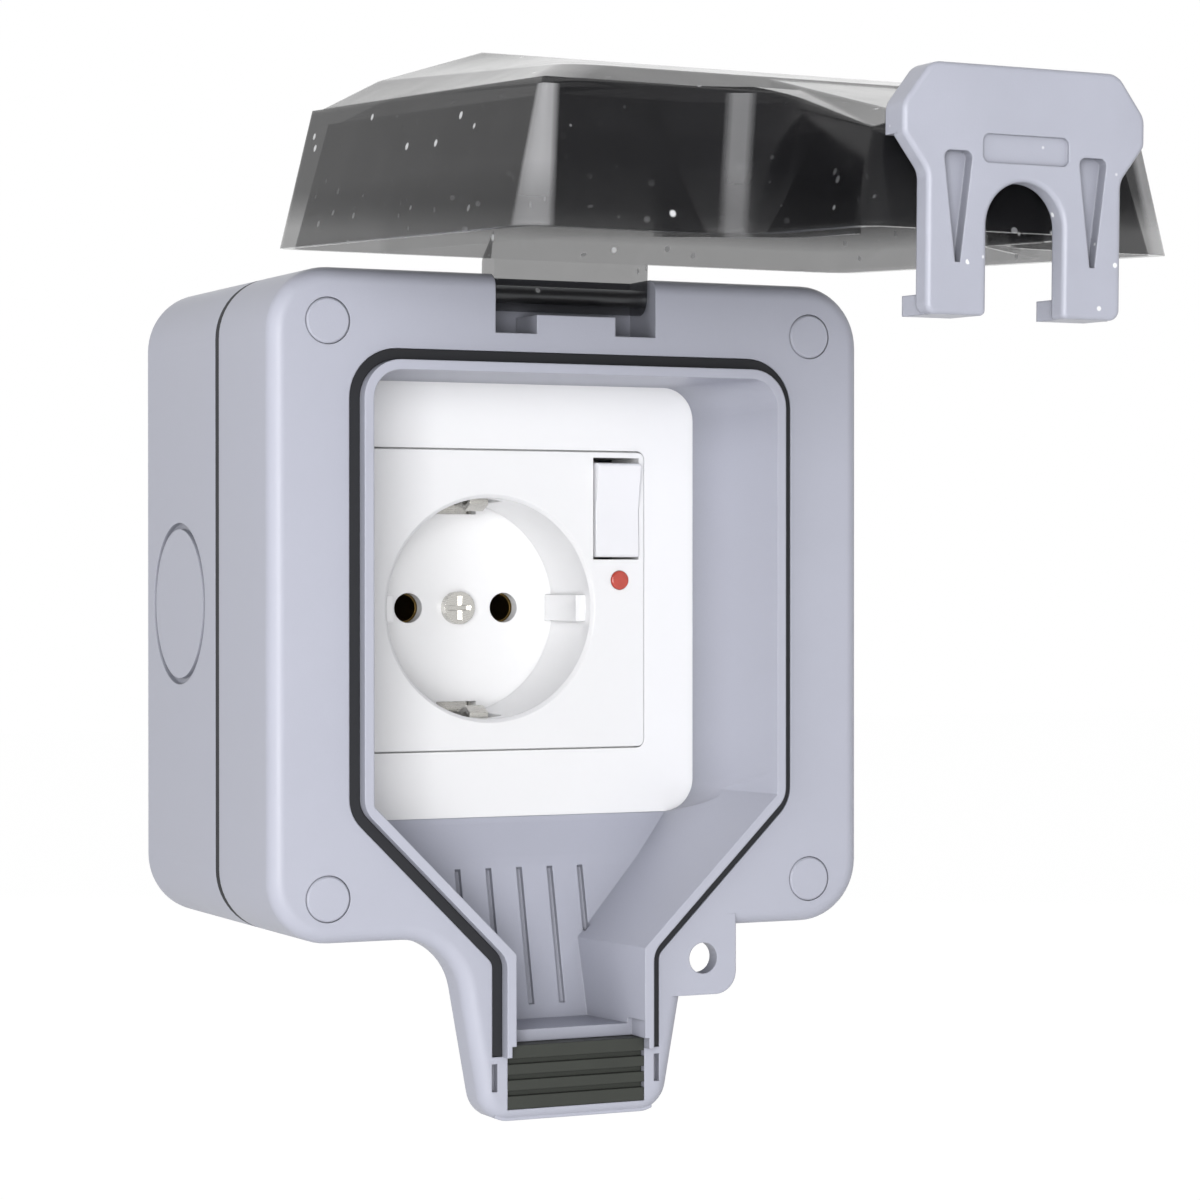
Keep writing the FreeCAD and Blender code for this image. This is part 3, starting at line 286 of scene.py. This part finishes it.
def smoked_plastic(name, colour, rim_opacity, crown_opacity, rib_opacity):
    """Tinted clear plastic: each of a wall's two faces lets part of the light through."""
    finish = Finish(name)
    waves = finish.noise(14 * MM, detail=1.0)
    smears = finish.noise(6 * MM, detail=4.0)
    # Painted glints, as of water drops: white spots that also turn nearly opaque
    glints = glint_spots(finish, 5 * MM, 0.4)
    _, outward, upward = finish.split(finish.place)
    rise = upward - LID_TILT * outward - LID_RIM
    deep = finish.ramp(rise * (1 / TINT_HEIGHT), (0.2, 0.0), (0.5, 1.0))
    wall = rim_opacity - 0.02 + 0.04 * smears + (crown_opacity - rim_opacity) * deep
    alpha = wall + (rib_opacity - wall) * inside(finish, *RIB_BOX)
    tint = finish.blend(smears, shaded(colour, 0.7), shaded(colour, 1.3))
    return finish.surface(
        # The lid's colour carries a painted highlight on its bends and painted glints as of water
        # drops
        Base_Color=finish.blend(glints, finish.blend(bend_highlights(finish, rise), tint, BEND_HIGHLIGHT), GLINT),
        Roughness=0.06 + 0.12 * smears,
        Specular_IOR_Level=0.15,
        Alpha=finish.maths("MAXIMUM", alpha, 0.8 * glints),
        Normal=finish.bump(waves, 0.08 * MM, finish.soft_edges(1.2 * MM)),
    )


def clear_lens(name, colour, glow):
    """Coloured clear plastic over a small lamp."""
    finish = Finish(name)
    clouds = finish.noise(1.0 * MM, detail=2.0)
    return finish.surface(
        Base_Color=finish.blend(clouds, shaded(colour, 0.8), shaded(colour, 1.15)),
        Roughness=0.12 + 0.08 * clouds,
        Emission_Color=finish.blend(clouds, shaded(colour, 0.8), colour),
        Emission_Strength=glow,
        Coat_Weight=0.5,
        Normal=finish.bump(clouds, 0.03 * MM, finish.soft_edges(0.2 * MM)),
    )


HOUSING = linear(178, 180, 193)
WHITE = linear(240, 240, 241)
# Colour of the painted glints
GLINT = linear(225, 226, 228)
# Colour of the painted highlight on the lid's bends
BEND_HIGHLIGHT = linear(158, 158, 160)

# How much darker dust and painted shade make a sheltered place, and how near the shelter is
DUST_AND_SHADE = 0.42
DUST_AND_SHADE_REACH = 14 * MM

# The raised lid: the height and slope of its rim, and the heights over it where the tint has
# deepened and where the upright walls end
LID_RIM = 62.8 * MM
LID_TILT = 0.0524
TINT_HEIGHT = 20 * MM
LID_WALL = 21 * MM

# Its thin inner rib lies in this box, clear of the outer walls and of the crown
RIB_BOX = ((0, -163 * MM, 50 * MM), (45.5 * MM, -73.5 * MM, 76 * MM))

# The bends between its sides and shoulders, and between its shoulders and nose, which carry a
# painted highlight
OUTER_BEND = 220.4 * MM
OUTER_BEND_WIDTH = 1.2 * MM
BEND_LEAN = 0.3
INNER_BEND = 149.7 * MM
INNER_BEND_WIDTH = 5 * MM
NOSE_SPAN = 40 * MM
NOSE_ROOF = 190 * MM

finishes = {
    "housing": moulding("housing_plastic", HOUSING),
    "caps": moulding("cap_plastic", HOUSING, edge=0.2 * MM),
    "latch_plastic": moulding("latch_plastic", linear(162, 164, 176), mottle=0.12, roughness=0.36,
                              glint_share=0.3),
    "base_plastic": moulding("base_plastic", linear(214, 212, 205), grain=0.5 * MM),
    "white_plate": smooth_moulding("plate_plastic", WHITE),
    "white_insert": smooth_moulding("insert_plastic", linear(238, 238, 239), roughness=0.18),
    "white_rocker": smooth_moulding("rocker_plastic", linear(236, 236, 239), roughness=0.22),
    "gasket": rubber("seal_rubber", linear(24, 25, 30)),
    "cable_rubber": rubber("cable_rubber", linear(43, 46, 41), roughness=0.6),
    "steel": metal("screw_steel", linear(200, 202, 205)),
    "nickel": metal("nickel_plate", linear(205, 203, 198), roughness=0.25),
    # The brass is made darker than bare brass, as painted shade for the pin holes it sits in
    "brass": metal("contact_brass", linear(116, 94, 54), roughness=0.34),
    "zinc": metal("zinc_plate", linear(196, 200, 204), roughness=0.38, stretch=(14, 1, 1)),
    "smoke_lid": smoked_plastic("smoke_lid", linear(27, 27, 29), 0.46, 0.78, 0.04),
    "red_lens": clear_lens("red_lens", linear(178, 62, 48), 0.12),
    "lamp_glass": clear_lens("lamp_glass", linear(235, 190, 160), 0.05),
}


def dress_solids():
    """Gives every node of the frame the finish of its slot."""
    for part in frame["record"]["subparts"]:
        mesh = nodes[part["node"]].data
        if not mesh.materials:
            mesh.materials.append(None)
        for index in range(len(mesh.materials)):
            mesh.materials[index] = finishes[part["material_slot"]]


def set_camera():
    """The photograph's viewpoint and framing."""
    data = bpy.data.cameras.new("photo_camera")
    data.sensor_width = SENSOR
    data.lens = FOCAL_PIXELS / PHOTO_SIZE * SENSOR
    data.shift_x = (PHOTO_SIZE / 2 - CENTRE_PIXEL[0]) / PHOTO_SIZE
    data.shift_y = (CENTRE_PIXEL[1] - PHOTO_SIZE / 2) / PHOTO_SIZE
    data.clip_start = NEAREST_SEEN
    camera = bpy.data.objects.new("photo_camera", data)
    camera.location = CAMERA_PLACE
    camera.rotation_euler = Euler((math.radians(90 - CAMERA_DIP), 0, math.radians(-CAMERA_YAW)))
    bpy.context.scene.collection.objects.link(camera)
    bpy.context.scene.camera = camera


# The floor lies well below the socket. A share of what the camera sees of it shines white, and
# the rest keeps the socket's shadow
FLOOR_DROP = 0.12
FLOOR_SIZE = 8.0
FLOOR_COLOUR = (0.9, 0.9, 0.9, 1.0)
FLOOR_GLOW = 1.12
FLOOR_GLOW_SHARE = 0.85

# Name, place, width and height, and watts of each lamp; all point at one spot on the socket
LAMPS = (
    ("key", (-0.42, -0.85, 0.02), (0.4, 0.4), 6.6),
    ("side", (-1.1, -0.42, 0.1), (0.3, 0.7), 1.9),
    ("back", (0.7, 1.2, 0.5), (1.2, 1.2), 1.6),
)
LAMPS_AIM = (0, -0.06, 0)
ROOM_LIGHT = 0.33
WHITE_LIGHT = (1, 1, 1, 1)


def build_floor():
    """Plain pale floor below the socket, which hangs on a wall that is left out."""
    mesh = bpy.data.meshes.new("floor")
    shape = bmesh.new()
    bmesh.ops.create_grid(shape, x_segments=1, y_segments=1, size=FLOOR_SIZE / 2)
    bmesh.ops.translate(shape, verts=shape.verts, vec=(0, 0, cad_box[0].z - FLOOR_DROP))
    shape.to_mesh(mesh)
    shape.free()
    floor = bpy.data.objects.new("floor", mesh)
    bpy.context.scene.collection.objects.link(floor)
    finish = Finish("pale_floor")
    pale = finish.node("BsdfDiffuse", {}, {"Color": FLOOR_COLOUR})
    white = finish.node("Emission", {}, {"Color": WHITE_LIGHT, "Strength": FLOOR_GLOW})
    shown = finish.seen_directly() * FLOOR_GLOW_SHARE
    mixed = finish.node("MixShader", {}, {0: shown, 1: pale, 2: white})
    finish.node("OutputMaterial", {}, {"Surface": mixed})
    mesh.materials.append(finish.material)


def build_world():
    """Soft light from all round, behind a plain white background."""
    world = bpy.data.worlds.new("studio")
    bpy.context.scene.world = world
    sky = Shader(world)
    lighting = sky.node("Background", {}, {"Color": WHITE_LIGHT, "Strength": ROOM_LIGHT})
    backdrop = sky.node("Background", {}, {"Color": WHITE_LIGHT})
    mixed = sky.node("MixShader", {}, {0: sky.seen_directly(), 1: lighting, 2: backdrop})
    sky.node("OutputWorld", {}, {"Surface": mixed})


def hang_lamp(name, place, size, power):
    """A soft rectangular lamp that points at the socket."""
    data = bpy.data.lights.new(name, "AREA")
    data.shape = "RECTANGLE"
    data.size, data.size_y = size
    data.energy = power
    lamp = bpy.data.objects.new(name, data)
    lamp.location = place
    direction = Vector(LAMPS_AIM) - Vector(place)
    lamp.rotation_euler = direction.to_track_quat("-Z", "Y").to_euler()
    bpy.context.scene.collection.objects.link(lamp)


dress_solids()
set_camera()
build_floor()
build_world()
for lamp in LAMPS:
    hang_lamp(*lamp)
bpy.context.scene.view_settings.view_transform = "Standard"
